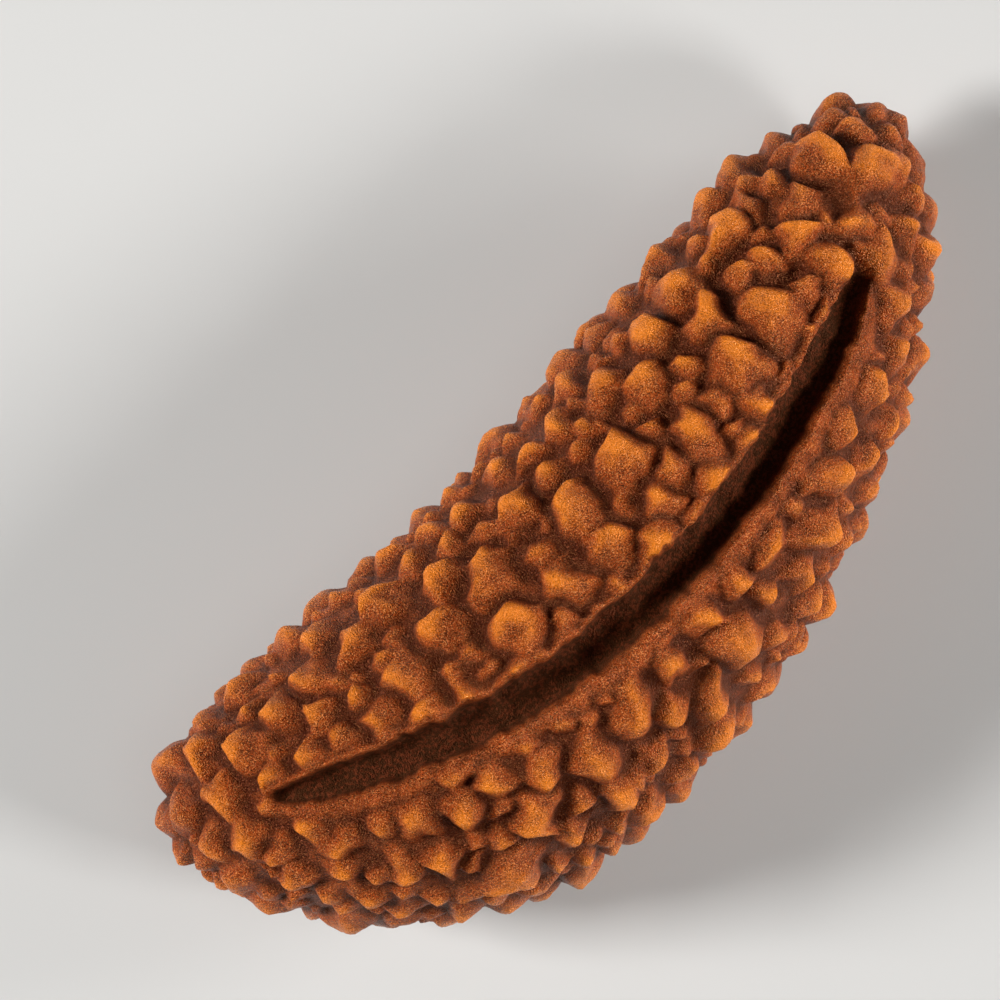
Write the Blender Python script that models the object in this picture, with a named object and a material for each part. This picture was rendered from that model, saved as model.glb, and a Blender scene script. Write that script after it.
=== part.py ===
# One mukhi rudraksha bead: the crescent-shaped stone of a seed, covered in blunt angular
# tubercles and opened along its face by one deep slit. It grew as one piece, so it is
# one object.
#
# Frame: metres, +Z up. The bead lies on its side, with X along its length and its
# straighter side towards +Y, so the slit faces up. The origin is on the small flat spot
# that it rests on, under its weight.

import math
import random

import bpy
import numpy as np

MM = 0.001

# The smooth body under the tubercles
WIDEST_X = -4.0 * MM
LEFT_REACH = 10.3 * MM
RIGHT_REACH = 18.95 * MM
LEFT_POWER = 2.4
RIGHT_POWER = 2.3
HALF_WIDTH = 5.18 * MM
TOP_HEIGHT = 4.7 * MM
BOTTOM_HEIGHT = 3.75 * MM

# Where its weight lies in the plan that the other x and y values use
BALANCE_X = -0.85 * MM
BALANCE_Y = -0.3 * MM

# Its centre line in plan bends towards +Y at both ends
BEND_X = -3.0 * MM
BEND_Y = -1.27 * MM
LEFT_RISE = 3.25 * MM
LEFT_RISE_POWER = 2.2
RIGHT_RISE = 4.2 * MM
RIGHT_RISE_POWER = 1.74

# Its underside is flatter than its top, and lies a little towards +Y
END_SAG = 0.3 * MM
PITCH = -0.0127
UNDERSIDE_SHIFT = 1.0 * MM

# It rests on a wide tubercle, and those round that one are worn lower
REST_CLEARANCE = 0.12 * MM
REST_TUBERCLE = 2.2 * MM
WORN_HEIGHT = 1.1 * MM
WORN_SHARE = 0.45
UNDER_FADE = 2.0

# The slit: its azimuth on the body as a curve of x, its ends, width and depth
SLIT_AZIMUTH = (-10.3, -20.6, 12.2)
AZIMUTH_SPAN = 14.6 * MM
SLIT_LEFT = -11.5 * MM
SLIT_RIGHT = 11.25 * MM
SLIT_HALF_WIDTH = 0.60 * MM
SLIT_DEPTH = 0.8 * MM
SLIT_END_POWER = 9
SLIT_WALL = 0.22
SLIT_FLOOR_TILT = 0.14
FRONT_FADE = 3.0
LIP_RAGGEDNESS = 0.06 * MM
RAGGEDNESS_LENGTH = 1.3 * MM

# The smooth rounded lips, which the tubercles fade into
LIP_HEIGHT = 0.14 * MM
UPPER_LIP = 0.26 * MM
LOWER_LIP = 0.72 * MM
LIP_CREST = 0.4
LIP_SPREAD = 0.6
LIP_ENDS = 0.5

# The tubercles: pyramids of a few facets with rounded tops
FACETS = (4, 6)
FACET_TURN_SPREAD = (-0.28, 0.28)
HEIGHT_PER_WIDTH = 0.46
HEIGHT_SPREAD = (0.85, 1.15)
LEAST_HEIGHT = 0.16 * MM
MOST_HEIGHT = 0.72 * MM
FOOT_PER_WIDTH = 1.22
REACH_SPREAD = (0.85, 1.22)
LEAST_REACH = 0.3
APEX_ROUNDING = 0.15
ROUNDING_SPREAD = (0.7, 1.3)
DOMING = 0.46
FACET_ROUNDING = 7.0
VALLEY_BLEND = 0.05 * MM
WARP = 0.10 * MM
WARP_LENGTH = 1.2 * MM

# They lean towards the two ends, and sideways away from the middle of the slit
LEAN = 0.50
LEAN_FULL_X = 8.0 * MM
LEAN_SIDE_START = 0.6
LEAN_SIDE_SLOPE = 2.5
LEAN_SCATTER = 0.25

# Those that the photograph doesn't show are drawn to fill the gaps, widest first
FILL_WIDTHS_MM = (1.6, 1.45, 1.3, 1.15, 1.0, 0.85, 0.7, 0.55)
FILL_WIDTH_SPREAD = (0.9, 1.1)
FILL_TRIES = 1500
FILL_CROWDING = 0.90
FACE_CROWDING = 0.98
EDGE_LIMIT = 0.985
SEED = 11

# Waves over the whole surface, slow ones and short ones
SWELL = 0.05 * MM
SWELL_LENGTH = 2.6 * MM
PITTING = 0.03 * MM
PITTING_LENGTH = 0.7 * MM

# How finely the sphere that becomes the bead is divided, and what is kept of it
SEGMENTS = 250
RINGS = 270
FRONT_DENSITY = 0.42
KEPT_TRIANGLES = 10900

COLOUR = (0.36, 0.125, 0.030, 1.0)
ROUGHNESS = 0.55

# The tubercles that the face shows, by eye: x, y and width in millimetres, in plan
FACE_TUBERCLES_MM = (
    # along the straighter edge, left to right
    (-13.0, 4.2, 1.5), (-12.4, 4.45, 0.6), (-11.4, 4.3, 1.0), (-10.0, 4.3, 1.3),
    (-9.7, 3.9, 0.5), (-9.2, 3.85, 0.6), (-8.85, 4.4, 0.65), (-7.95, 4.4, 1.3),
    (-6.8, 4.2, 0.5), (-6.05, 4.25, 1.0), (-5.5, 4.25, 0.7), (-4.35, 4.2, 1.1),
    (-3.4, 4.25, 0.6), (-2.7, 4.2, 0.8), (-1.8, 4.25, 1.1), (-0.65, 4.3, 0.75),
    (0.0, 4.2, 0.6), (0.65, 4.05, 0.65), (1.2, 4.15, 0.5), (1.8, 4.2, 0.8),
    (2.85, 4.0, 1.1), (3.9, 4.1, 0.7), (4.75, 4.1, 0.7), (5.6, 4.7, 1.15),
    (6.45, 4.95, 0.7), (7.3, 4.75, 1.25), (8.3, 5.15, 0.6), (9.3, 5.3, 1.6),
    (10.45, 5.4, 1.75), (11.2, 5.2, 0.8), (12.1, 4.6, 0.95),
    (13.0, 4.65, 0.6), (13.8, 4.3, 0.85), (14.4, 4.1, 0.5),
    # the next rows in from it
    (-13.65, 3.0, 1.25), (-12.1, 3.75, 1.4), (-12.5, 2.5, 1.25), (-11.0, 2.95, 1.4),
    (-10.4, 3.75, 0.85), (-9.6, 2.9, 1.25), (-8.2, 3.15, 1.3), (-7.4, 3.8, 1.2),
    (-6.5, 2.95, 1.25), (-5.4, 3.15, 1.35), (-4.0, 3.45, 1.1), (-3.6, 2.45, 1.35),
    (-2.7, 3.0, 0.85), (-2.0, 3.45, 1.0), (-1.25, 3.9, 0.65), (-1.8, 2.7, 0.9),
    (-1.1, 3.1, 0.5), (-0.25, 3.65, 0.95), (0.75, 3.3, 0.8), (1.8, 3.35, 1.2),
    (-0.5, 2.5, 1.2), (0.8, 2.5, 0.95), (1.8, 2.4, 0.6), (3.5, 3.05, 1.3),
    (4.0, 3.85, 0.6), (4.8, 3.85, 0.75), (5.5, 3.3, 1.5), (7.0, 3.7, 1.7),
    (8.3, 4.35, 0.9), (9.2, 4.0, 1.5), (10.15, 4.0, 0.85), (10.6, 4.5, 0.9),
    (11.2, 4.05, 1.0), (12.6, 3.75, 1.45), (14.0, 3.45, 1.0), (14.9, 3.6, 0.7),
    # across the face, between those rows and the slit
    (-14.2, 3.4, 1.2), (-14.45, 2.45, 0.7), (-13.6, 1.55, 0.95), (-12.8, 1.0, 1.15),
    (-11.05, 1.8, 0.9), (-11.75, 1.2, 0.7), (-10.4, 2.25, 0.6), (-9.8, 1.5, 0.9),
    (-8.8, 2.1, 1.05), (-8.75, 1.25, 1.0), (-7.6, 1.75, 0.95), (-7.6, 0.75, 1.1),
    (-7.2, 2.2, 0.5), (-5.75, 2.35, 0.7), (-6.35, 1.15, 1.2), (-6.4, 2.0, 0.8),
    (-4.55, 1.5, 1.45), (-5.15, 0.4, 0.75), (-4.4, 0.5, 0.75), (-6.5, 0.05, 1.0),
    (-2.95, -0.05, 1.5), (-2.45, 1.6, 1.5), (-1.05, 1.05, 0.8), (-1.2, 0.0, 1.2),
    (0.55, 1.15, 1.6), (0.55, -0.1, 1.25), (2.4, 1.4, 1.6), (1.65, 0.45, 0.6),
    (3.3, 0.15, 0.85), (2.5, -0.35, 1.0), (4.5, 2.45, 1.2), (3.7, 2.2, 0.65),
    (5.65, 2.2, 0.85), (7.05, 2.5, 1.35), (8.5, 2.8, 0.9), (9.35, 2.6, 1.0),
    (5.2, 1.45, 0.8), (3.8, 1.4, 0.7), (4.5, 0.5, 1.35), (5.45, 0.6, 0.8),
    (6.65, 0.95, 1.5), (8.35, 1.2, 1.6), (7.65, 0.1, 0.6), (8.9, 0.25, 0.7),
    (10.5, 2.45, 1.15), (11.4, 3.1, 1.1), (11.4, 2.2, 0.65), (9.6, 1.2, 0.9),
    (10.6, 1.05, 1.4), (9.6, 0.4, 0.7), (13.2, 2.35, 1.55), (12.0, 1.6, 1.15),
    (11.85, 0.5, 1.3), (12.8, 1.25, 0.75), (13.0, 0.45, 1.15), (14.0, 1.9, 1.05),
    (14.65, 2.6, 0.85), (15.05, 2.6, 0.8), (13.8, 0.9, 0.85), (14.5, 1.2, 0.85),
    # left end and the rows under the slit
    (-14.5, 1.6, 1.0), (-14.2, -0.3, 1.0), (-13.8, 0.2, 1.15), (-12.4, 0.05, 0.9),
    (-11.3, 0.0, 0.9),
    (-13.6, -0.6, 0.9), (-12.55, -0.8, 1.15), (-13.2, -1.4, 0.75), (-12.95, -1.9, 0.5),
    (-11.4, -1.5, 1.0), (-10.8, -0.95, 0.95), (-12.2, -1.8, 0.7), (-12.2, -2.35, 0.85),
    (-11.4, -2.75, 0.85), (-9.7, -1.4, 0.85), (-8.75, -1.9, 1.2), (-10.1, -2.7, 1.05),
    (-10.75, -2.4, 0.6), (-9.1, -3.2, 1.15), (-10.0, -4.0, 1.05), (-11.0, -3.6, 1.05),
    (-11.6, -3.2, 0.5), (-9.2, -4.55, 0.9), (-9.8, -4.9, 1.0), (-8.7, -5.2, 0.8),
    (-7.65, -2.65, 1.25), (-6.55, -2.6, 1.1), (-5.2, -2.45, 0.8), (-5.3, -3.4, 1.3),
    (-6.3, -4.2, 1.35), (-7.6, -3.95, 0.8), (-7.8, -4.9, 1.6), (-6.1, -5.2, 1.0),
    (-5.1, -4.85, 0.85), (-3.85, -2.8, 0.8), (-3.95, -4.1, 1.45), (-4.2, -5.4, 1.2),
    (-7.65, -5.9, 1.1), (-6.85, -5.7, 0.75), (-6.1, -6.1, 0.8), (-5.45, -6.2, 0.6),
    (-4.8, -6.1, 0.7), (-3.8, -6.3, 1.15), (-3.4, -3.3, 0.6), (-2.4, -4.05, 1.25),
    (-1.85, -3.25, 0.7), (-0.6, -3.65, 1.15), (-1.4, -4.8, 1.15), (-0.6, -5.4, 1.3),
    (-3.55, -5.4, 0.8), (-2.7, -5.35, 1.0), (-2.35, -6.3, 0.95), (-1.65, -6.45, 0.6),
    (-0.4, -6.4, 0.8), (0.0, -4.3, 0.6), (0.95, -3.4, 1.05), (1.1, -4.65, 1.65),
    (0.8, -5.7, 0.8), (1.0, -6.1, 0.9), (2.45, -3.4, 1.0), (2.05, -5.25, 0.9),
    (2.5, -5.8, 0.8), (2.65, -4.2, 0.9), (3.9, -3.2, 1.05), (3.9, -4.55, 1.25),
    (5.1, -3.95, 1.45), (3.5, -5.3, 1.0), (5.45, -4.75, 1.0), (4.6, -4.95, 0.6),
    (5.8, -2.75, 0.7), (6.5, -3.1, 1.25), (6.2, -4.05, 0.7), (6.9, -4.5, 1.1),
    (7.5, -3.5, 1.0), (7.65, -2.35, 1.25), (8.65, -3.2, 1.05), (8.2, -3.8, 0.8),
    (9.0, -2.1, 1.2), (9.5, -3.0, 1.0), (10.3, -1.9, 1.0), (11.2, -0.75, 1.35),
    (11.0, -1.75, 0.6), (12.1, -0.4, 0.9), (12.1, -1.3, 1.0), (14.7, 0.7, 1.0), (15.2, 1.5, 0.9),
)


def ends(x):
    """How far towards its end each x is, as a share, and the power of that end's curve."""
    left = x < WIDEST_X
    along = np.abs(x - WIDEST_X) / np.where(left, LEFT_REACH, RIGHT_REACH)
    return along, np.where(left, LEFT_POWER, RIGHT_POWER)


def fullness(x):
    """The body's girth at x, as a share of its girth where it is widest."""
    along, power = ends(x)
    return np.sqrt(np.clip(1.0 - along**power, 0.0, 1.0))


def centre_y(x):
    left = x < BEND_X
    span = np.where(left, BEND_X - (WIDEST_X - LEFT_REACH), WIDEST_X + RIGHT_REACH - BEND_X)
    rise = np.where(left, LEFT_RISE, RIGHT_RISE)
    power = np.where(left, LEFT_RISE_POWER, RIGHT_RISE_POWER)
    return BEND_Y + rise * (np.abs(x - BEND_X) / span) ** power


def centre_z(x):
    along, _ = ends(x)
    return BOTTOM_HEIGHT + REST_CLEARANCE - END_SAG * along**2 + PITCH * (x - WIDEST_X)


def body_point(x, azimuth):
    """A point on the smooth body. Azimuth 0 is its top, and 90 degrees its +Y side."""
    girth = fullness(x)
    up = girth * np.cos(azimuth)
    height = np.where(up > 0, TOP_HEIGHT, BOTTOM_HEIGHT)
    shift = UNDERSIDE_SHIFT * np.minimum(up, 0) ** 2
    y = centre_y(x) + HALF_WIDTH * girth * np.sin(azimuth) + shift
    return np.stack([x, y, centre_z(x) + height * up], axis=-1)


def body_level(p):
    """Zero on the smooth body, and more the further outside it."""
    x, y, z = p[..., 0], p[..., 1], p[..., 2]
    along, power = ends(x)
    up = z - centre_z(x)
    up = up / np.where(up > 0, TOP_HEIGHT, BOTTOM_HEIGHT)
    side = (y - centre_y(x) - UNDERSIDE_SHIFT * np.minimum(up, 0) ** 2) / HALF_WIDTH
    return side**2 + up**2 + along**power - 1.0


def body_normal(p, step=0.01 * MM):
    slopes = [body_level(p + d) - body_level(p - d) for d in np.eye(3) * step]
    normal = np.stack(slopes, axis=-1)
    return normal / np.linalg.norm(normal, axis=-1, keepdims=True)


def slit_azimuth(x):
    share = x / AZIMUTH_SPAN
    start, turn, bow = SLIT_AZIMUTH
    return np.radians(start + turn * share + bow * share**2)


def smooth_step(value):
    value = np.clip(value, 0.0, 1.0)
    return value * value * (3.0 - 2.0 * value)


def waves(p, length, seed, count=14):
    """A smooth random field between about -1 and 1, as a sum of waves in every direction."""
    draw = np.random.RandomState(seed)
    total = np.zeros(len(p))
    for _ in range(count):
        way = draw.normal(size=3)
        way *= 2.0 * math.pi / (length * draw.uniform(0.8, 1.3) * np.linalg.norm(way))
        total += np.sin(p @ way + draw.uniform(0.0, 2.0 * math.pi))
    return total / math.sqrt(count)


def stations(shares):
    """The x of each share of the way along the body, with even steps over its surface."""
    turn = np.linspace(0.0, math.pi, 2001)
    middle = WIDEST_X + (RIGHT_REACH - LEFT_REACH) / 2
    x = middle - (RIGHT_REACH + LEFT_REACH) / 2 * np.cos(turn)
    run = np.hypot(np.diff(x), np.diff(HALF_WIDTH * fullness(x)))
    run = np.concatenate([[0.0], np.cumsum(run)])
    return np.interp(shares, run / run[-1], x)


def seen_in_plan(x, y):
    """The body's point under a tubercle that shows at x, y, seen straight down."""
    out = LEAST_HEIGHT
    middle = WIDEST_X + (RIGHT_REACH - LEFT_REACH) / 2
    reach = (RIGHT_REACH + LEFT_REACH) / 2
    x = middle + (x - middle) * reach / (reach + out)
    side = (y - centre_y(x)) / (HALF_WIDTH * fullness(x) + out)
    return body_point(x, np.arcsin(np.clip(side, -EDGE_LIMIT, EDGE_LIMIT)))


def tubercle_seats():
    """The place on the smooth body and the width of every tubercle."""
    draw = random.Random(SEED)
    places = [seen_in_plan(x * MM, y * MM) for x, y, _ in FACE_TUBERCLES_MM]
    widths = [width * MM for _, _, width in FACE_TUBERCLES_MM]
    seen = len(places)
    # a wide one under the weight, which the flat spot is on
    places.append(body_point(BALANCE_X, math.pi))
    widths.append(REST_TUBERCLE)
    for width_mm in FILL_WIDTHS_MM:
        for _ in range(FILL_TRIES):
            width = width_mm * MM * draw.uniform(*FILL_WIDTH_SPREAD)
            x = float(stations(draw.random()))
            azimuth = draw.uniform(-math.pi, math.pi)
            if draw.random() > fullness(x):
                continue
            place = body_point(x, azimuth)
            gaps = np.linalg.norm(np.array(places) - place, axis=1)
            room = (np.array(widths) + width) / 2 * FILL_CROWDING
            room[:seen] *= FACE_CROWDING / FILL_CROWDING
            if (gaps > room).all():
                places.append(place)
                widths.append(width)
    return np.array(places), np.array(widths)


def tubercle_height(p):
    """How far the tubercles lift each point p of the smooth body."""
    places, widths = tubercle_seats()
    normals = body_normal(places)
    draw = np.random.RandomState(SEED)
    # each point is looked up a little way off, which bends the tubercles' outlines
    bends = [waves(p, WARP_LENGTH, SEED + k) for k in (3, 4, 5)]
    p = p + WARP * np.stack(bends, axis=-1)
    relief = np.zeros(len(p))
    for place, width, normal in zip(places, widths, normals):
        sides = draw.randint(FACETS[0], FACETS[1] + 1)
        turns = np.arange(sides) + draw.uniform(*FACET_TURN_SPREAD, sides)
        turns = turns * 2.0 * math.pi / sides
        turns += draw.uniform(0.0, 2.0 * math.pi)
        foot = FOOT_PER_WIDTH * width / 2
        reaches = foot * draw.uniform(*REACH_SPREAD, sides)
        reaches *= math.sqrt(math.pi / (sides * math.tan(math.pi / sides)))
        lift = HEIGHT_PER_WIDTH * width * draw.uniform(*HEIGHT_SPREAD)
        lift = max(LEAST_HEIGHT, min(MOST_HEIGHT, lift))
        rounding = APEX_ROUNDING * draw.uniform(*ROUNDING_SPREAD)

        away = p - place
        near = np.einsum("ij,ij->i", away, away) < (2.0 * foot) ** 2
        away = away[near]
        east = np.array((1.0, 0.0, 0.0)) - normal * normal[0]
        east /= np.linalg.norm(east)
        north = np.cross(normal, east)
        # the apex lies off the middle, and less so on the sides, where it points outwards anyway
        endward = place[0] / LEAN_FULL_X
        sideward = LEAN_SIDE_START + LEAN_SIDE_SLOPE * normal[1]
        outward = np.clip((endward, sideward), -1.0, 1.0)
        outward[1] *= 0.5 + 0.5 * normal[2]
        lean = (outward + draw.normal(0.0, LEAN_SCATTER, 2)) * LEAN * width / 2
        u = away @ east - lean[0]
        v = away @ north - lean[1]
        gauge = np.zeros(len(away))
        for turn, reach in zip(turns, reaches):
            reach -= lean[0] * math.cos(turn) + lean[1] * math.sin(turn)
            reach = max(reach, LEAST_REACH * foot)
            ahead = np.maximum(u * math.cos(turn) + v * math.sin(turn), 0.0) / reach
            gauge += ahead**FACET_ROUNDING
        gauge = gauge ** (1.0 / FACET_ROUNDING)
        slope = (np.hypot(gauge, rounding) - rounding) / (math.hypot(1.0, rounding) - rounding)
        slope = slope + DOMING * (slope**2 - slope)
        rise = lift * (1.0 - slope)
        # a soft maximum keeps the valleys narrow but not knife-sharp
        high = np.maximum(relief[near], rise)
        low = np.minimum(relief[near], rise)
        relief[near] = high + VALLEY_BLEND * np.exp((low - high) / VALLEY_BLEND) * 0.5
    return relief


def slit_position(p):
    """Distance in plan from the slit's middle, as a share of its half width, and that width."""
    x = p[:, 0]
    middle = (SLIT_LEFT + SLIT_RIGHT) / 2
    share = (x - middle) / ((SLIT_RIGHT - SLIT_LEFT) / 2)
    half = SLIT_HALF_WIDTH * np.sqrt(np.clip(1.0 - np.abs(share) ** SLIT_END_POWER, 0.0, 1.0))
    across = p[:, 1] - body_point(x, slit_azimuth(x))[:, 1]
    across = across + LIP_RAGGEDNESS * waves(p, RAGGEDNESS_LENGTH, SEED + 1)
    return across, half


def finished_surface(p, normal):
    """The points p of the smooth body, moved to the bead's real surface."""
    relief = tubercle_height(p)
    # the tubercles round the place it rests on are lower
    worn = (1.0 - smooth_step(p[:, 2] / WORN_HEIGHT)) * smooth_step(-normal[:, 2] * UNDER_FADE)
    relief = relief * (1.0 - WORN_SHARE * worn)
    across, half = slit_position(p)
    front = smooth_step(normal[:, 2] * FRONT_FADE)
    outside = np.abs(across) - half
    lip = np.where(across > 0, UPPER_LIP, LOWER_LIP)
    # past the slit's ends the lips give way to tubercles again
    open_part = smooth_step(half / (LIP_ENDS * SLIT_HALF_WIDTH)) * front
    fade = 1.0 - open_part * (1.0 - smooth_step(outside / lip))
    off_crest = (outside - LIP_CREST * lip) / (LIP_SPREAD * lip)
    roll = LIP_HEIGHT * open_part * np.exp(-(off_crest**2))
    relief = np.maximum(relief * fade, roll)
    relief = relief + SWELL * waves(p, SWELL_LENGTH, SEED + 2)
    relief = relief + PITTING * waves(p, PITTING_LENGTH, SEED + 6, 40)

    spread = np.maximum(half, 0.05 * MM)
    wall = smooth_step((1.0 + SLIT_WALL / 2 - np.abs(across) / spread) / SLIT_WALL)
    floor = 1.0 - SLIT_FLOOR_TILT * (1.0 + across / spread)
    deep = np.sqrt(np.clip(half / SLIT_HALF_WIDTH, 0.0, 1.0))
    relief = relief - SLIT_DEPTH * deep * wall * floor * front
    return p + normal * relief[:, None]


def make_material():
    material = bpy.data.materials.new("rudraksha_stone")
    material.use_nodes = True
    shader = material.node_tree.nodes["Principled BSDF"]
    shader.inputs["Base Color"].default_value = COLOUR
    shader.inputs["Roughness"].default_value = ROUGHNESS
    shader.inputs["Metallic"].default_value = 0.0
    return material


def make_bead(collection):
    bpy.ops.mesh.primitive_uv_sphere_add(segments=SEGMENTS, ring_count=RINGS, radius=1.0)
    bead = bpy.context.active_object
    bead.name = bead.data.name = "rudraksha_bead"
    mesh = bead.data
    ball = np.empty(len(mesh.vertices) * 3)
    mesh.vertices.foreach_get("co", ball)
    ball = ball.reshape(-1, 3)

    # the sphere's poles become the bead's two ends, and its segments crowd at the slit
    x = stations(np.arccos(np.clip(-ball[:, 2], -1.0, 1.0)) / math.pi)
    around = np.arctan2(ball[:, 1], ball[:, 0])
    around = around - FRONT_DENSITY * np.sin(around)
    azimuth = around + slit_azimuth(x) * (0.5 + 0.5 * np.cos(around))
    p = body_point(x, azimuth)
    p = finished_surface(p, body_normal(p))
    p -= (BALANCE_X, BALANCE_Y, 0.0)
    mesh.vertices.foreach_set("co", p.ravel())
    mesh.update()

    faces = 2 * SEGMENTS * (RINGS - 1)
    fewer = bead.modifiers.new("fewer_faces", "DECIMATE")
    fewer.ratio = KEPT_TRIANGLES / faces
    fewer.use_collapse_triangulate = True
    mesh.shade_smooth()
    mesh.materials.append(make_material())
    for old in bead.users_collection:
        old.objects.unlink(bead)
    collection.objects.link(bead)
    return bead


def make_rest_cutter(collection):
    """A block under the surface that the bead rests on: it leaves the small flat spot."""
    deep = 4.0 * MM
    bpy.ops.mesh.primitive_cube_add(size=1.0, location=(0.0, 0.0, -deep / 2))
    cutter = bpy.context.active_object
    cutter.name = "rest_cutter"
    cutter.scale = (40.0 * MM, 20.0 * MM, deep)
    cutter.display_type = "WIRE"
    cutter.hide_render = True
    for old in cutter.users_collection:
        old.objects.unlink(cutter)
    collection.objects.link(cutter)
    return cutter


def main():
    for old in list(bpy.data.objects):
        bpy.data.objects.remove(old)
    parts = bpy.data.collections.new("one_mukhi_rudraksha_bead")
    cutters = bpy.data.collections.new("cutters")
    for collection in (parts, cutters):
        bpy.context.scene.collection.children.link(collection)
    bead = make_bead(parts)
    flat = bead.modifiers.new("flat_spot", "BOOLEAN")
    flat.operation = "DIFFERENCE"
    flat.object = make_rest_cutter(cutters)


main()
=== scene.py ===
# One mukhi rudraksha bead: the finished surface, the light and the camera
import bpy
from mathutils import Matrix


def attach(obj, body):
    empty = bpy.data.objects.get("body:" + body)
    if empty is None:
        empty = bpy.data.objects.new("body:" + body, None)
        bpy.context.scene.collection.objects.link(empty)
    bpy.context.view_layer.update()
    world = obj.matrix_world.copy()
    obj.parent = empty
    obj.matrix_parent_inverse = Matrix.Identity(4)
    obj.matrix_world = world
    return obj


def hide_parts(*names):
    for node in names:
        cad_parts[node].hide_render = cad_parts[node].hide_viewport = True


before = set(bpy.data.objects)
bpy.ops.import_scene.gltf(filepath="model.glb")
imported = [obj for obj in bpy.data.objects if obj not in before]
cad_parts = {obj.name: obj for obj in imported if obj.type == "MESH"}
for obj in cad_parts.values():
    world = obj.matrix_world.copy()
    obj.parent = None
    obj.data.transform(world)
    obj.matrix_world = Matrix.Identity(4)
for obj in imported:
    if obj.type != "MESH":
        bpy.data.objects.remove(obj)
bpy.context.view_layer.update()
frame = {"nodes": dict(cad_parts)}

import math
import random

import bpy
import numpy as np

mm = 0.001
print("frame loaded:", ", ".join(frame["nodes"]))

# The smooth body under the tubercles
stone = {
    "widestX": -4.0 * mm,
    "leftReach": 10.3 * mm,
    "rightReach": 18.95 * mm,
    "leftPower": 2.4,  # more is blunter
    "rightPower": 2.3,
    "halfWidth": 5.18 * mm,
    "topHeight": 4.7 * mm,
    "bottomHeight": 3.75 * mm,
    "balance": (-0.85 * mm, -0.3 * mm),  # where its weight lies, in plan
    "bendX": -3.0 * mm,  # the crescent's lowest point in plan, and how far its ends rise from it
    "bendY": -1.27 * mm,
    "leftRise": 3.25 * mm,
    "leftRisePower": 2.2,
    "rightRise": 4.2 * mm,
    "rightRisePower": 1.74,
    "endSag": 0.3 * mm,
    "pitch": -0.0127,  # how far it drops along X, per length
    "undersideShift": 1.0 * mm,
    "restClearance": 0.12 * mm,  # between the smooth body and the ground
    "restTubercle": 2.2 * mm,
    "wornHeight": 1.1 * mm,  # the tubercles that it rests on are lower up to here
    "wornShare": 0.45,
    "wornFade": 2,  # how fast the wear sets in as the surface turns down
    "swell": 0.05 * mm,
    "swellLength": 2.6 * mm,
    "pitting": 0.030 * mm,
    "pittingLength": 0.7 * mm,
    "pittingWaves": 40,
    "grain": 0.014 * mm,
    "grainLength": 0.32 * mm,
    "grainWaves": 60,
    "seed": 11,  # each field of waves adds a small number of its own
}


def ends(x):
    left = x < stone["widestX"]
    along = np.abs(x - stone["widestX"]) / np.where(left, stone["leftReach"], stone["rightReach"])
    return along, np.where(left, stone["leftPower"], stone["rightPower"])


def fullness(x):  # girth, as a share of the widest
    along, power = ends(x)
    return np.sqrt(np.clip(1 - along**power, 0, 1))


def centreY(x):
    left = x < stone["bendX"]
    leftSpan = stone["bendX"] - (stone["widestX"] - stone["leftReach"])
    rightSpan = stone["widestX"] + stone["rightReach"] - stone["bendX"]
    rise = np.where(left, stone["leftRise"], stone["rightRise"])
    power = np.where(left, stone["leftRisePower"], stone["rightRisePower"])
    share = np.abs(x - stone["bendX"]) / np.where(left, leftSpan, rightSpan)
    return stone["bendY"] + rise * share**power


def centreZ(x):
    along, _ = ends(x)
    level = stone["bottomHeight"] + stone["restClearance"] - stone["endSag"] * along**2
    return level + stone["pitch"] * (x - stone["widestX"])


def bodyPoint(x, azimuth):  # azimuth 0 is the top, 90 degrees the +Y side
    girth = fullness(x)
    up = girth * np.cos(azimuth)
    height = np.where(up > 0, stone["topHeight"], stone["bottomHeight"])
    y = centreY(x) + stone["halfWidth"] * girth * np.sin(azimuth)
    y = y + stone["undersideShift"] * np.minimum(up, 0) ** 2
    return np.stack([x, y, centreZ(x) + height * up], axis=-1)


def bodyLevel(p):  # 0 on the body, above 0 outside it
    along, power = ends(p[..., 0])
    up = p[..., 2] - centreZ(p[..., 0])
    up = up / np.where(up > 0, stone["topHeight"], stone["bottomHeight"])
    side = p[..., 1] - centreY(p[..., 0]) - stone["undersideShift"] * np.minimum(up, 0) ** 2
    return (side / stone["halfWidth"]) ** 2 + up**2 + along**power - 1


def bodyNormal(p, step=0.01 * mm):
    slopes = [bodyLevel(p + d) - bodyLevel(p - d) for d in np.eye(3) * step]
    normal = np.stack(slopes, axis=-1)
    return normal / np.linalg.norm(normal, axis=-1, keepdims=True)


def smoothStep(value):
    value = np.clip(value, 0, 1)
    return value * value * (3 - 2 * value)


def waves(p, length, seed, count=14, spread=(0.8, 1.3)):  # a smooth random field, about -1 to 1
    draw = np.random.RandomState(seed)
    total = np.zeros(len(p))
    for _ in range(count):
        way = draw.normal(size=3)
        way *= 2 * math.pi / (length * draw.uniform(*spread) * np.linalg.norm(way))
        total += np.sin(p @ way + draw.uniform(0, 2 * math.pi))
    return total / math.sqrt(count)


def stations(shares, steps=2000):  # x at even steps over the surface, end to end
    turn = np.linspace(0, math.pi, steps + 1)
    middle = stone["widestX"] + (stone["rightReach"] - stone["leftReach"]) / 2
    x = middle - (stone["rightReach"] + stone["leftReach"]) / 2 * np.cos(turn)
    run = np.hypot(np.diff(x), np.diff(stone["halfWidth"] * fullness(x)))
    run = np.concatenate([[0], np.cumsum(run)])
    return np.interp(shares, run / run[-1], x)


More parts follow.
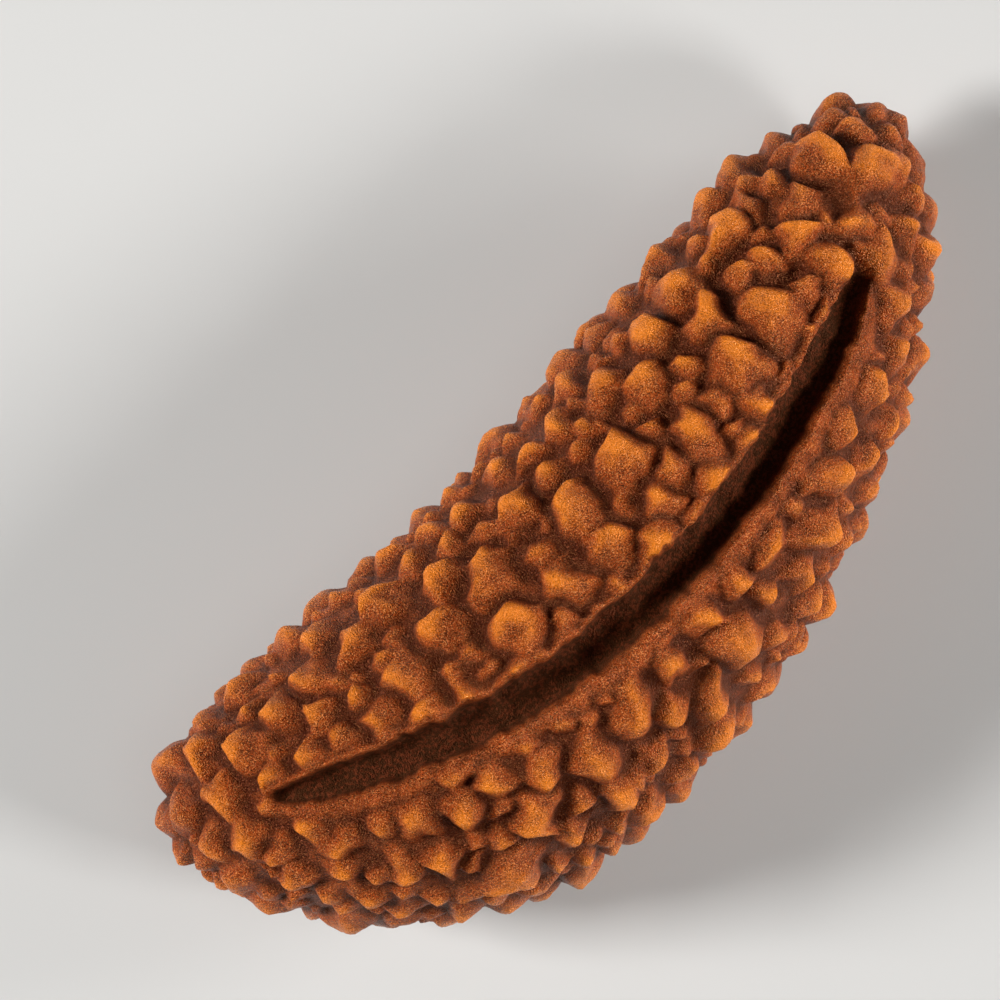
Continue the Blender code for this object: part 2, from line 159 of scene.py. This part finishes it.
# The tubercles: seen ones listed, x, y and width in mm in plan, the rest drawn to fill the gaps
tubercles = {
    "facets": (4, 6),
    "facetTurnSpread": 0.28,  # as a share of the turn from one facet to the next
    "heightPerWidth": 0.46,
    "heightSpread": (0.85, 1.15),
    "leastHeight": 0.16 * mm,
    "mostHeight": 0.72 * mm,
    "footPerWidth": 1.22,
    "reachSpread": (0.85, 1.22),
    "leastReach": 0.3,
    "apexRounding": 0.15,
    "roundingSpread": (0.7, 1.3),
    "doming": 0.46,
    "facetRounding": 7.0,  # more is sharper between the facets
    "lean": 0.50,
    "leanFullX": 8 * mm,  # how far along from the origin the lean is full
    "leanSideStart": 0.6,
    "leanSideSlope": 2.5,
    "leanScatter": 0.25,
    "valleyBlend": 0.05 * mm,
    "warp": 0.10 * mm,
    "warpLength": 1.2 * mm,
    "fillWidths": (1.6, 1.45, 1.3, 1.15, 1.0, 0.85, 0.7, 0.55),
    "fillWidthSpread": (0.9, 1.1),
    "fillTries": 1500,
    "fillCrowding": 0.90,  # least gap between two drawn ones, as a share of their widths
    "faceCrowding": 0.98,  # the same, from a drawn one to a seen one
    "edgeLimit": 0.985,  # sine of the furthest turn to a side that a seen one gets
    "straighterEdge": (
        (-13.0, 4.2, 1.5), (-12.4, 4.45, 0.6), (-11.4, 4.3, 1.0), (-10.0, 4.3, 1.3),
        (-9.7, 3.9, 0.5), (-9.2, 3.85, 0.6), (-8.85, 4.4, 0.65), (-7.95, 4.4, 1.3),
        (-6.8, 4.2, 0.5), (-6.05, 4.25, 1.0), (-5.5, 4.25, 0.7), (-4.35, 4.2, 1.1),
        (-3.4, 4.25, 0.6), (-2.7, 4.2, 0.8), (-1.8, 4.25, 1.1), (-0.65, 4.3, 0.75),
        (0.0, 4.2, 0.6), (0.65, 4.05, 0.65), (1.2, 4.15, 0.5), (1.8, 4.2, 0.8),
        (2.85, 4.0, 1.1), (3.9, 4.1, 0.7), (4.75, 4.1, 0.7), (5.6, 4.7, 1.15),
        (6.45, 4.95, 0.7), (7.3, 4.75, 1.25), (8.3, 5.15, 0.6), (9.3, 5.3, 1.6),
        (10.45, 5.4, 1.75), (11.2, 5.2, 0.8), (12.1, 4.6, 0.95),
        (13.0, 4.65, 0.6), (13.8, 4.3, 0.85), (14.4, 4.1, 0.5),
    ),
    "nextRows": (
        (-13.65, 3.0, 1.25), (-12.1, 3.75, 1.4), (-12.5, 2.5, 1.25), (-11.0, 2.95, 1.4),
        (-10.4, 3.75, 0.85), (-9.6, 2.9, 1.25), (-8.2, 3.15, 1.3), (-7.4, 3.8, 1.2),
        (-6.5, 2.95, 1.25), (-5.4, 3.15, 1.35), (-4.0, 3.45, 1.1), (-3.6, 2.45, 1.35),
        (-2.7, 3.0, 0.85), (-2.0, 3.45, 1.0), (-1.25, 3.9, 0.65), (-1.8, 2.7, 0.9),
        (-1.1, 3.1, 0.5), (-0.25, 3.65, 0.95), (0.75, 3.3, 0.8), (1.8, 3.35, 1.2),
        (-0.5, 2.5, 1.2), (0.8, 2.5, 0.95), (1.8, 2.4, 0.6), (3.5, 3.05, 1.3),
        (4.0, 3.85, 0.6), (4.8, 3.85, 0.75), (5.5, 3.3, 1.5), (7.0, 3.7, 1.7),
        (8.3, 4.35, 0.9), (9.2, 4.0, 1.5), (10.15, 4.0, 0.85), (10.6, 4.5, 0.9),
        (11.2, 4.05, 1.0), (12.6, 3.75, 1.45), (14.0, 3.45, 1.0), (14.9, 3.6, 0.7),
    ),
    "aboveSlit": (
        (-14.2, 3.4, 1.2), (-14.45, 2.45, 0.7), (-13.6, 1.55, 0.95), (-12.8, 1.0, 1.15),
        (-11.05, 1.8, 0.9), (-11.75, 1.2, 0.7), (-10.4, 2.25, 0.6), (-9.8, 1.5, 0.9),
        (-8.8, 2.1, 1.05), (-8.75, 1.25, 1.0), (-7.6, 1.75, 0.95), (-7.6, 0.75, 1.1),
        (-7.2, 2.2, 0.5), (-5.75, 2.35, 0.7), (-6.35, 1.15, 1.2), (-6.4, 2.0, 0.8),
        (-4.55, 1.5, 1.45), (-5.15, 0.4, 0.75), (-4.4, 0.5, 0.75), (-6.5, 0.05, 1.0),
        (-2.95, -0.05, 1.5), (-2.45, 1.6, 1.5), (-1.05, 1.05, 0.8), (-1.2, 0.0, 1.2),
        (0.55, 1.15, 1.6), (0.55, -0.1, 1.25), (2.4, 1.4, 1.6), (1.65, 0.45, 0.6),
        (3.3, 0.15, 0.85), (2.5, -0.35, 1.0), (4.5, 2.45, 1.2), (3.7, 2.2, 0.65),
        (5.65, 2.2, 0.85), (7.05, 2.5, 1.35), (8.5, 2.8, 0.9), (9.35, 2.6, 1.0),
        (5.2, 1.45, 0.8), (3.8, 1.4, 0.7), (4.5, 0.5, 1.35), (5.45, 0.6, 0.8),
        (6.65, 0.95, 1.5), (8.35, 1.2, 1.6), (7.65, 0.1, 0.6), (8.9, 0.25, 0.7),
        (10.5, 2.45, 1.15), (11.4, 3.1, 1.1), (11.4, 2.2, 0.65), (9.6, 1.2, 0.9),
        (10.6, 1.05, 1.4), (9.6, 0.4, 0.7), (13.2, 2.35, 1.55), (12.0, 1.6, 1.15),
        (11.85, 0.5, 1.3), (12.8, 1.25, 0.75), (13.0, 0.45, 1.15), (14.0, 1.9, 1.05),
        (14.65, 2.6, 0.85), (15.05, 2.6, 0.8), (13.8, 0.9, 0.85), (14.5, 1.2, 0.85),
    ),
    "belowSlit": (
        (-14.5, 1.6, 1.0), (-14.2, -0.3, 1.0), (-13.8, 0.2, 1.15), (-12.4, 0.05, 0.9), (-11.3, 0.0, 0.9),
        (-13.6, -0.6, 0.9), (-12.55, -0.8, 1.15), (-13.2, -1.4, 0.75), (-12.95, -1.9, 0.5),
        (-11.4, -1.5, 1.0), (-10.8, -0.95, 0.95), (-12.2, -1.8, 0.7), (-12.2, -2.35, 0.85),
        (-11.4, -2.75, 0.85), (-9.7, -1.4, 0.85), (-8.75, -1.9, 1.2), (-10.1, -2.7, 1.05),
        (-10.75, -2.4, 0.6), (-9.1, -3.2, 1.15), (-10.0, -4.0, 1.05), (-11.0, -3.6, 1.05),
        (-11.6, -3.2, 0.5), (-9.2, -4.55, 0.9), (-9.8, -4.9, 1.0), (-8.7, -5.2, 0.8),
        (-7.65, -2.65, 1.25), (-6.55, -2.6, 1.1), (-5.2, -2.45, 0.8), (-5.3, -3.4, 1.3),
        (-6.3, -4.2, 1.35), (-7.6, -3.95, 0.8), (-7.8, -4.9, 1.6), (-6.1, -5.2, 1.0),
        (-5.1, -4.85, 0.85), (-3.85, -2.8, 0.8), (-3.95, -4.1, 1.45), (-4.2, -5.4, 1.2),
        (-7.65, -5.9, 1.1), (-6.85, -5.7, 0.75), (-6.1, -6.1, 0.8), (-5.45, -6.2, 0.6),
        (-4.8, -6.1, 0.7), (-3.8, -6.3, 1.15), (-3.4, -3.3, 0.6), (-2.4, -4.05, 1.25),
        (-1.85, -3.25, 0.7), (-0.6, -3.65, 1.15), (-1.4, -4.8, 1.15), (-0.6, -5.4, 1.3),
        (-3.55, -5.4, 0.8), (-2.7, -5.35, 1.0), (-2.35, -6.3, 0.95), (-1.65, -6.45, 0.6),
        (-0.4, -6.4, 0.8), (0.0, -4.3, 0.6), (0.95, -3.4, 1.05), (1.1, -4.65, 1.65),
        (0.8, -5.7, 0.8), (1.0, -6.1, 0.9), (2.45, -3.4, 1.0), (2.05, -5.25, 0.9),
        (2.5, -5.8, 0.8), (2.65, -4.2, 0.9), (3.9, -3.2, 1.05), (3.9, -4.55, 1.25),
        (5.1, -3.95, 1.45), (3.5, -5.3, 1.0), (5.45, -4.75, 1.0), (4.6, -4.95, 0.6),
        (5.8, -2.75, 0.7), (6.5, -3.1, 1.25), (6.2, -4.05, 0.7), (6.9, -4.5, 1.1),
        (7.5, -3.5, 1.0), (7.65, -2.35, 1.25), (8.65, -3.2, 1.05), (8.2, -3.8, 0.8),
        (9.0, -2.1, 1.2), (9.5, -3.0, 1.0), (10.3, -1.9, 1.0), (11.2, -0.75, 1.35),
        (11.0, -1.75, 0.6), (12.1, -0.4, 0.9), (12.1, -1.3, 1.0), (14.7, 0.7, 1.0), (15.2, 1.5, 0.9),
    ),
}


def seenInPlan(x, y):  # the body's point under what shows at x, y from straight above
    out = tubercles["leastHeight"]
    middle = stone["widestX"] + (stone["rightReach"] - stone["leftReach"]) / 2
    reach = (stone["rightReach"] + stone["leftReach"]) / 2
    x = middle + (x - middle) * reach / (reach + out)
    side = (y - centreY(x)) / (stone["halfWidth"] * fullness(x) + out)
    limit = tubercles["edgeLimit"]
    return bodyPoint(x, np.arcsin(np.clip(side, -limit, limit)))


def tubercleSeats():
    draw = random.Random(stone["seed"])
    rows = [tubercles[name] for name in ("straighterEdge", "nextRows", "aboveSlit", "belowSlit")]
    seen = [spot for row in rows for spot in row]
    places = [seenInPlan(x * mm, y * mm) for x, y, _ in seen]
    widths = [width * mm for _, _, width in seen]
    # a wide one under the weight, which the flat spot is on
    places.append(bodyPoint(stone["balance"][0], math.pi))
    widths.append(stone["restTubercle"])
    for fillWidth in tubercles["fillWidths"]:
        for _ in range(tubercles["fillTries"]):
            width = fillWidth * mm * draw.uniform(*tubercles["fillWidthSpread"])
            x = float(stations(draw.random()))
            azimuth = draw.uniform(-math.pi, math.pi)
            if draw.random() > fullness(x):
                continue
            place = bodyPoint(x, azimuth)
            gaps = np.linalg.norm(np.array(places) - place, axis=1)
            room = (np.array(widths) + width) / 2 * tubercles["fillCrowding"]
            room[: len(seen)] *= tubercles["faceCrowding"] / tubercles["fillCrowding"]
            if (gaps > room).all():
                places.append(place)
                widths.append(width)
    return np.array(places), np.array(widths)


def tubercleHeight(p):
    places, widths = tubercleSeats()
    normals = bodyNormal(places)
    draw = np.random.RandomState(stone["seed"])
    bends = [waves(p, tubercles["warpLength"], stone["seed"] + k) for k in (3, 4, 5)]
    p = p + tubercles["warp"] * np.stack(bends, axis=-1)
    relief = np.zeros(len(p))
    fewest, most = tubercles["facets"]
    turnSpread = tubercles["facetTurnSpread"]
    for place, width, normal in zip(places, widths, normals):
        sides = draw.randint(fewest, most + 1)
        turns = (np.arange(sides) + draw.uniform(-turnSpread, turnSpread, sides)) * 2 * math.pi / sides
        turns += draw.uniform(0, 2 * math.pi)
        foot = tubercles["footPerWidth"] * width / 2
        reaches = foot * draw.uniform(*tubercles["reachSpread"], sides)
        reaches *= math.sqrt(math.pi / (sides * math.tan(math.pi / sides)))
        lift = tubercles["heightPerWidth"] * width * draw.uniform(*tubercles["heightSpread"])
        lift = max(tubercles["leastHeight"], min(tubercles["mostHeight"], lift))
        rounding = tubercles["apexRounding"] * draw.uniform(*tubercles["roundingSpread"])

        away = p - place
        near = np.einsum("ij,ij->i", away, away) < (2 * foot) ** 2
        away = away[near]
        east = np.array((1, 0, 0)) - normal * normal[0]
        east /= np.linalg.norm(east)
        north = np.cross(normal, east)
        # tubercles lean away from the middle of the slit
        sideways = tubercles["leanSideSlope"] * normal[1] + tubercles["leanSideStart"]
        outward = np.array((place[0] / tubercles["leanFullX"], sideways)).clip(-1, 1)
        outward[1] *= (1 + normal[2]) / 2
        lean = (outward + draw.normal(0, tubercles["leanScatter"], 2)) * tubercles["lean"] * width / 2
        u = away @ east - lean[0]
        v = away @ north - lean[1]
        gauge = np.zeros(len(away))
        for turn, reach in zip(turns, reaches):
            reach -= lean[0] * math.cos(turn) + lean[1] * math.sin(turn)
            reach = max(reach, tubercles["leastReach"] * foot)
            ahead = np.maximum(u * math.cos(turn) + v * math.sin(turn), 0) / reach
            gauge += ahead ** tubercles["facetRounding"]
        gauge = gauge ** (1 / tubercles["facetRounding"])
        slope = (np.hypot(gauge, rounding) - rounding) / (math.hypot(1, rounding) - rounding)
        slope = slope + tubercles["doming"] * (slope**2 - slope)
        rise = lift * (1 - slope)
        # a soft maximum: valleys stay narrow but not knife-sharp
        high = np.maximum(relief[near], rise)
        low = np.minimum(relief[near], rise)
        blend = tubercles["valleyBlend"]
        relief[near] = high + blend * np.exp((low - high) / blend) / 2
    print("tubercles:", len(places))
    return relief


# The slit, its floor and its two smooth lips
slit = {
    "azimuth": (-10.3, -20.6, 12.2),  # degrees on the body, as a curve of x
    "azimuthSpan": 14.6 * mm,
    "left": -11.5 * mm,
    "right": 11.25 * mm,
    "halfWidth": 0.60 * mm,
    "depth": 0.80 * mm,
    "leastHalfWidth": 0.05 * mm,
    "endPower": 9,
    "frontFade": 3,  # keeps the slit to the side that faces up
    "wall": 0.22,  # share of the half width that the wall takes
    "floorTilt": 0.14,
    "raggedness": 0.06 * mm,
    "raggednessLength": 1.3 * mm,
    "fineRaggedness": 0.03 * mm,
    "fineRaggednessLength": 0.35 * mm,
    "lipHeight": 0.14 * mm,
    "lipCrest": 0.4,  # where across its lip the roll is highest
    "lipSpread": 0.6,  # how broad the roll is, as a share of its lip
    "lipEnds": 0.5,  # share of the half width at which the lips fade out
    "upperLip": 0.26 * mm,
    "lowerLip": 0.72 * mm,
}


def slitAzimuth(x):
    share = x / slit["azimuthSpan"]
    start, turn, bow = slit["azimuth"]
    return np.radians(start + turn * share + bow * share**2)


def slitPosition(p):
    middle = (slit["left"] + slit["right"]) / 2
    share = (p[:, 0] - middle) / ((slit["right"] - slit["left"]) / 2)
    half = slit["halfWidth"] * np.sqrt(np.clip(1 - np.abs(share) ** slit["endPower"], 0, 1))
    across = p[:, 1] - bodyPoint(p[:, 0], slitAzimuth(p[:, 0]))[:, 1]
    across = across + slit["raggedness"] * waves(p, slit["raggednessLength"], stone["seed"] + 1)
    across = across + slit["fineRaggedness"] * waves(p, slit["fineRaggednessLength"], stone["seed"] + 8)
    return across, half


def finishedSurface(p, normal):
    relief = tubercleHeight(p)
    worn = 1 - smoothStep(p[:, 2] / stone["wornHeight"])
    worn = worn * smoothStep(-normal[:, 2] * stone["wornFade"])
    relief = relief * (1 - stone["wornShare"] * worn)
    across, half = slitPosition(p)
    front = smoothStep(normal[:, 2] * slit["frontFade"])
    outside = np.abs(across) - half
    lip = np.where(across > 0, slit["upperLip"], slit["lowerLip"])
    openPart = smoothStep(half / (slit["lipEnds"] * slit["halfWidth"])) * front
    fade = 1 - openPart * (1 - smoothStep(outside / lip))
    acrossLip = (outside - slit["lipCrest"] * lip) / (slit["lipSpread"] * lip)
    roll = slit["lipHeight"] * openPart * np.exp(-(acrossLip**2))
    relief = np.maximum(relief * fade, roll)
    relief = relief + stone["swell"] * waves(p, stone["swellLength"], stone["seed"] + 2)
    pits = waves(p, stone["pittingLength"], stone["seed"] + 6, stone["pittingWaves"])
    grains = waves(p, stone["grainLength"], stone["seed"] + 7, stone["grainWaves"])
    relief = relief + stone["pitting"] * pits
    relief = relief + stone["grain"] * grains

    spread = np.maximum(half, slit["leastHalfWidth"])
    wall = smoothStep((1 + slit["wall"] / 2 - np.abs(across) / spread) / slit["wall"])
    floor = 1 - slit["floorTilt"] * (1 + across / spread)
    deep = np.sqrt(np.clip(half / slit["halfWidth"], 0, 1))
    inSlit = deep * wall * front
    surface = p + normal * (relief - slit["depth"] * inSlit * floor)[:, None]
    return surface, relief, inSlit


mesh = {
    "segments": 300,
    "rings": 320,
    "frontDensity": 0.42,  # how much the segments crowd towards the slit
    "smoothingRounds": 24,
}


def smoothed(data, values):  # spread over the neighbouring vertices, round after round
    pairs = np.empty(len(data.edges) * 2, dtype=np.int32)
    data.edges.foreach_get("vertices", pairs)
    first, second = pairs.reshape(-1, 2).T
    count = len(values)
    neighbours = np.bincount(first, minlength=count) + np.bincount(second, minlength=count)
    for _ in range(mesh["smoothingRounds"]):
        total = np.bincount(first, values[second], count) + np.bincount(second, values[first], count)
        values = total / neighbours
    return values


def makeBead():
    bpy.ops.mesh.primitive_uv_sphere_add(segments=mesh["segments"], ring_count=mesh["rings"], radius=1)
    bead = bpy.context.active_object
    bead.name = bead.data.name = "seedStone"
    ball = np.empty(len(bead.data.vertices) * 3)
    bead.data.vertices.foreach_get("co", ball)
    ball = ball.reshape(-1, 3)

    # the sphere's poles become the two ends, and its segments crowd towards the slit
    x = stations(np.arccos(np.clip(-ball[:, 2], -1, 1)) / math.pi)
    around = np.arctan2(ball[:, 1], ball[:, 0])
    around = around - mesh["frontDensity"] * np.sin(around)
    azimuth = around + slitAzimuth(x) * (1 + np.cos(around)) / 2
    p = bodyPoint(x, azimuth)
    p, relief, inSlit = finishedSurface(p, bodyNormal(p))
    p[:, :2] -= stone["balance"]
    p[:, 2] = np.maximum(p[:, 2], 0)
    bead.data.vertices.foreach_set("co", p.ravel())
    bead.data.flip_normals()  # the sphere's Z has become X, which turns its faces inside out
    # ridge is how far the relief stands above its neighbours; the crest, ridge and inSlit attributes
    # also steer the painted highlight and painted shade in the colour
    ridge = relief - smoothed(bead.data, relief)
    for name, values in (("crest", relief / mm), ("ridge", ridge / mm), ("inSlit", inSlit)):
        attribute = bead.data.attributes.new(name, "FLOAT", "POINT")
        attribute.data.foreach_set("value", values.astype(np.float32))
    bead.data.update()
    bead.data.shade_smooth()
    print("bead mesh:", len(bead.data.polygons), "faces")
    return bead


# Shader sums in plain Python: a Wire is a socket, and its operators add the Math nodes
class Wire:
    def __init__(self, tree, socket=None):
        self.tree = tree
        self.socket = socket

    def node(self, kind, settings=None, sockets=None, output=0):
        made = self.tree.nodes.new("ShaderNode" + kind)
        for name, value in (settings or {}).items():
            setattr(made, name, value)
        for name, value in (sockets or {}).items():
            if isinstance(value, Wire):
                self.tree.links.new(value.socket, made.inputs[name])
            else:
                made.inputs[name].default_value = value
        return Wire(self.tree, made.outputs[output])

    def math(self, operation, other):
        return self.node("Math", {"operation": operation}, {0: self, 1: other})

    def __add__(self, other):
        return self.math("ADD", other)

    __radd__ = __add__

    def __sub__(self, other):
        return self.math("SUBTRACT", other)

    def __rsub__(self, other):
        return self * -1 + other

    def __mul__(self, other):
        return self.math("MULTIPLY", other)

    __rmul__ = __mul__

    def between(self, low, high):  # 0 at low, 1 at high, smooth
        settings = {"interpolation_type": "SMOOTHSTEP"}
        return self.node("MapRange", settings, {"Value": self, "From Min": low, "From Max": high})

    def mixColour(self, first, second):
        settings = {"data_type": "RGBA"}
        return self.node("Mix", settings, {"Factor": self, 6: first, 7: second}, 2)


# Colours of the stone: crest, flank and valley are partly its own tone and partly painted highlight on
# crests and painted shade in valleys; glint is painted highlight; dust is partly dust and partly painted
# glints; the slit's near-black is partly its own darker colour and partly painted shade
finishAndPaintedLight = {
    "crest": (0.90, 0.24, 0.018, 1),
    "flank": (0.34, 0.048, 0.005, 1),
    "valley": (0.055, 0.006, 0.002, 1),
    "pit": (0.025, 0.002, 0.001, 1),
    "slitFloor": (0.008, 0.001, 0.0004, 1),
    "slitGrain": (0.090, 0.015, 0.006, 1),
    "dustAndPaintedGlint": (0.50, 0.13, 0.06, 1),
    "glint": (0.95, 0.34, 0.10, 1),
    "sheen": (1.0, 0.36, 0.12, 1),
    "sheenLevel": 0.9,
    "roughness": 0.22,
    "grainRoughness": 0.25,  # more where the fine grain stands up
    "valleyRoughness": 0.15,
    "slitRoughness": 0.4,
    "bumpHeight": 0.10 * mm,
}

# Sizes of the grain, and where each colour starts and ends on what paintStone adds up
pattern = {
    "fineGrain": 0.045 * mm,
    "glintGrain": 0.04 * mm,
    "dustAndGlintGrain": 0.06 * mm,
    "slitGrain": 0.10 * mm,
    "patches": 0.5 * mm,
    "shades": 3.0 * mm,
    # how much relief and ridge weigh in the height that paints crests and ridges lighter as painted
    # highlight and valleys darker as painted shade
    "crestShare": 0.42,
    "ridgeShare": 2.3,
    "patchShare": 0.25,
    "grainShare": 0.15,
    "flank": (-0.26, 0.20),
    "crest": (0.18, 0.76),
    "crestCover": (0.6, 0.6),  # least, and what a light shade adds
    "gap": (0.30, 0.62),
    "gapPatchShare": 0.35,
    "gapCover": 0.95,
    "gapLessOnCrest": 0.75,
    "valley": (0.05, 0.45),
    "dustAndPaintedGlint": (0.58, 0.70),
    "dustAndGlintCover": 0.40,
    "glint": (0.56, 0.70),
    "glintHeight": (-0.25, 0.35),
    "glintCover": 0.62,
    "glintLessOnCrest": 0.5,
    "slitSpecks": (0.42, 0.66),
    "slitPatchShare": 0.5,
    "slitEdge": (0.15, 0.6),
    "bumpPatchShare": 0.5,
}


def paintStone():
    # the stone's material, with painted highlight and painted shade in its colour
    material = bpy.data.materials.new("oiledSeedStoneWithPaintedLight")
    material.use_nodes = True
    tree = material.node_tree
    shader = tree.nodes["Principled BSDF"]
    w = Wire(tree)
    place = w.node("TexCoord", output=3)
    crest = w.node("Attribute", {"attribute_name": "crest"}, output=2)
    ridge = w.node("Attribute", {"attribute_name": "ridge"}, output=2)
    inSlit = w.node("Attribute", {"attribute_name": "inSlit"}, output=2)

    def grain(size, detail=2.0, roughness=0.5):
        sockets = {"Vector": place, "Scale": 1 / size, "Detail": detail, "Roughness": roughness}
        return w.node("TexNoise", {"noise_dimensions": "3D"}, sockets)

    fine = grain(pattern["fineGrain"], 1.0, 0.6)
    middle = grain(pattern["patches"], 3.0)
    broad = grain(pattern["shades"], 2.0)
    # painted by height: crests and ridges lighter as painted highlight, valleys darker as painted shade,
    # on top of the stone's own tone
    height = pattern["crestShare"] * crest + pattern["ridgeShare"] * ridge
    height = height + pattern["patchShare"] * (middle - 0.5) + pattern["grainShare"] * (fine - 0.5)
    high = height.between(*pattern["crest"])
    colour = height.between(*pattern["flank"]).mixColour(finishAndPaintedLight["valley"], finishAndPaintedLight["flank"])
    least, more = pattern["crestCover"]
    colour = (high * (least + more * broad)).mixColour(colour, finishAndPaintedLight["crest"])
    # dark gaps between the grains, light specks in the valleys that are partly dust and partly painted
    # glints, and painted glints on the rest
    gaps = 1 - (fine + pattern["gapPatchShare"] * (middle - 0.5)).between(*pattern["gap"])
    gaps = gaps * (pattern["gapCover"] - pattern["gapLessOnCrest"] * high)
    colour = gaps.mixColour(colour, finishAndPaintedLight["pit"])
    inValley = 1 - crest.between(*pattern["valley"])
    dustAndPaintedGlint = grain(pattern["dustAndGlintGrain"], 1.0).between(*pattern["dustAndPaintedGlint"]) * inValley * pattern["dustAndGlintCover"]
    colour = dustAndPaintedGlint.mixColour(colour, finishAndPaintedLight["dustAndPaintedGlint"])
    glints = grain(pattern["glintGrain"], 0.0).between(*pattern["glint"])
    glints = glints * height.between(*pattern["glintHeight"]) * pattern["glintCover"]
    glints = glints * (1 - pattern["glintLessOnCrest"] * high)
    colour = glints.mixColour(colour, finishAndPaintedLight["glint"])
    # the slit is painted near-black, partly its own darker colour and partly painted shade, with lighter
    # grain specks
    slitSpecks = grain(pattern["slitGrain"], 1.0) + pattern["slitPatchShare"] * (middle - 0.5)
    inGrain = slitSpecks.between(*pattern["slitSpecks"])
    slitColour = inGrain.mixColour(finishAndPaintedLight["slitFloor"], finishAndPaintedLight["slitGrain"])
    colour = inSlit.between(*pattern["slitEdge"]).mixColour(colour, slitColour)
    tree.links.new(colour.socket, shader.inputs["Base Color"])
    rough = finishAndPaintedLight["roughness"] + finishAndPaintedLight["grainRoughness"] * (fine - 0.5)
    rough = rough + finishAndPaintedLight["valleyRoughness"] * (1 - high) + finishAndPaintedLight["slitRoughness"] * inSlit
    tree.links.new(rough.socket, shader.inputs["Roughness"])
    bumpHeight = fine + pattern["bumpPatchShare"] * middle
    bumpSockets = {"Strength": 1.0, "Distance": finishAndPaintedLight["bumpHeight"], "Height": bumpHeight}
    bump = w.node("Bump", None, bumpSockets)
    tree.links.new(bump.socket, shader.inputs["Normal"])
    shader.inputs["Specular IOR Level"].default_value = finishAndPaintedLight["sheenLevel"]
    shader.inputs["Specular Tint"].default_value = finishAndPaintedLight["sheen"]
    print("material:", material.name)
    return material


bead = makeBead()
bead.data.materials.append(paintStone())
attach(bead, "root")
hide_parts("rudraksha_bead")


paper = {"size": 1.2, "drop": 0.02 * mm, "colour": (0.58, 0.575, 0.56, 1), "roughness": 0.8}


def makeFloor():
    bpy.ops.mesh.primitive_plane_add(size=paper["size"], location=(0, 0, -paper["drop"]))
    floor = bpy.context.active_object
    floor.name = "paleFloor"
    material = bpy.data.materials.new("palePaper")
    material.use_nodes = True
    shader = material.node_tree.nodes["Principled BSDF"]
    shader.inputs["Base Color"].default_value = paper["colour"]
    shader.inputs["Roughness"].default_value = paper["roughness"]
    floor.data.materials.append(material)


# Lights: name, azimuth and height in degrees, distance, size, watts
lights = {
    "key": (-62, 32, 0.30, 0.07, 0.50),
    "window": (136, 32, 0.30, 0.08, 1.20),
    "rim": (-30, 12, 0.26, 0.08, 0.60),
    "top": (-58, 80, 0.30, 0.12, 0.06),
}
sky = {"colour": (1.0, 0.95, 0.90, 1), "strength": 0.02}


def makeLights():
    for name, (azimuth, height, distance, size, watts) in lights.items():
        lamp = bpy.data.lights.new(name, "AREA")
        lamp.size = size
        lamp.energy = watts
        light = bpy.data.objects.new(name, lamp)
        bpy.context.scene.collection.objects.link(light)
        turn, tilt = math.radians(azimuth), math.radians(height)
        light.location = (
            distance * math.cos(turn) * math.cos(tilt),
            distance * math.sin(turn) * math.cos(tilt),
            distance * math.sin(tilt),
        )
        light.rotation_euler = (math.pi / 2 - tilt, 0, turn + math.pi / 2)
    world = bpy.data.worlds.new("studio")
    world.use_nodes = True
    background = world.node_tree.nodes["Background"]
    background.inputs["Color"].default_value = sky["colour"]
    background.inputs["Strength"].default_value = sky["strength"]
    bpy.context.scene.world = world


camera = {
    "roll": 44.0,  # degrees that the bead's length is turned up from level in the picture
    "pixelsPerMm": 34.6,
    "planOrigin": (592.88, 554.76),  # pixel of the plan's origin
    "picture": 1000,
    "lens": 300.0,
    "sharpHeight": 4.5 * mm,
    "nearest": 0.01,
}


def makeCamera():
    data = bpy.data.cameras.new("camera")
    data.lens = camera["lens"]
    view = bpy.data.objects.new("camera", data)
    bpy.context.scene.collection.objects.link(view)
    across = camera["picture"] / camera["pixelsPerMm"] * mm
    roll = math.radians(camera["roll"])
    right = (camera["picture"] / 2 - camera["planOrigin"][0]) / camera["pixelsPerMm"] * mm
    up = (camera["planOrigin"][1] - camera["picture"] / 2) / camera["pixelsPerMm"] * mm
    distance = camera["lens"] / data.sensor_width * across
    view.location = (
        right * math.cos(roll) + up * math.sin(roll) - stone["balance"][0],
        -right * math.sin(roll) + up * math.cos(roll) - stone["balance"][1],
        camera["sharpHeight"] + distance,
    )
    view.rotation_euler = (0, 0, -roll)
    data.clip_start = camera["nearest"]
    bpy.context.scene.camera = view
    bpy.context.scene.view_settings.view_transform = "Standard"


makeFloor()
makeLights()
makeCamera()
print("floor, lights and camera placed")
